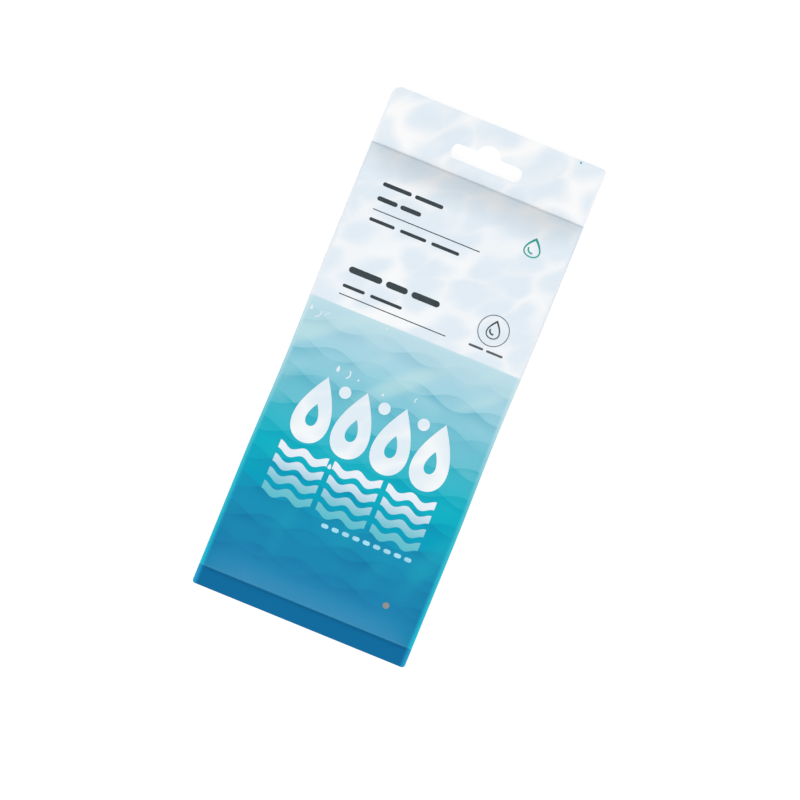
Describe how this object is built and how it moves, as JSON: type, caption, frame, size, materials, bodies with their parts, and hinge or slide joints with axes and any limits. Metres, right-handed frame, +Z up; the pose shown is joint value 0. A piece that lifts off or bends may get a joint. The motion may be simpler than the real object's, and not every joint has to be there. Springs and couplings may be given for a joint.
{
  "type": "pack of cleaning cloths",
  "caption": "Flat sealed film pack of folded wet cleaning cloths, with a crowned body, a flat hanging header with a domed hang slot, and a narrow foot seal.",
  "frame": {"origin": "on the surface the pack lies on, under the middle of its outline", "axes": "+X across the pack to the right of its front, +Y along it towards the hanging header, +Z up out of its front"},
  "size_m": [0.085, 0.1994, 0.0065],
  "materials": {
    "printed_film": "printed laminated film, pale icy blue at the header, through turquoise to deep blue at the foot, with a soft gloss"
  },
  "bodies": {
    "root": {"pouch": "printed_film"}
  },
  "joints": []
}
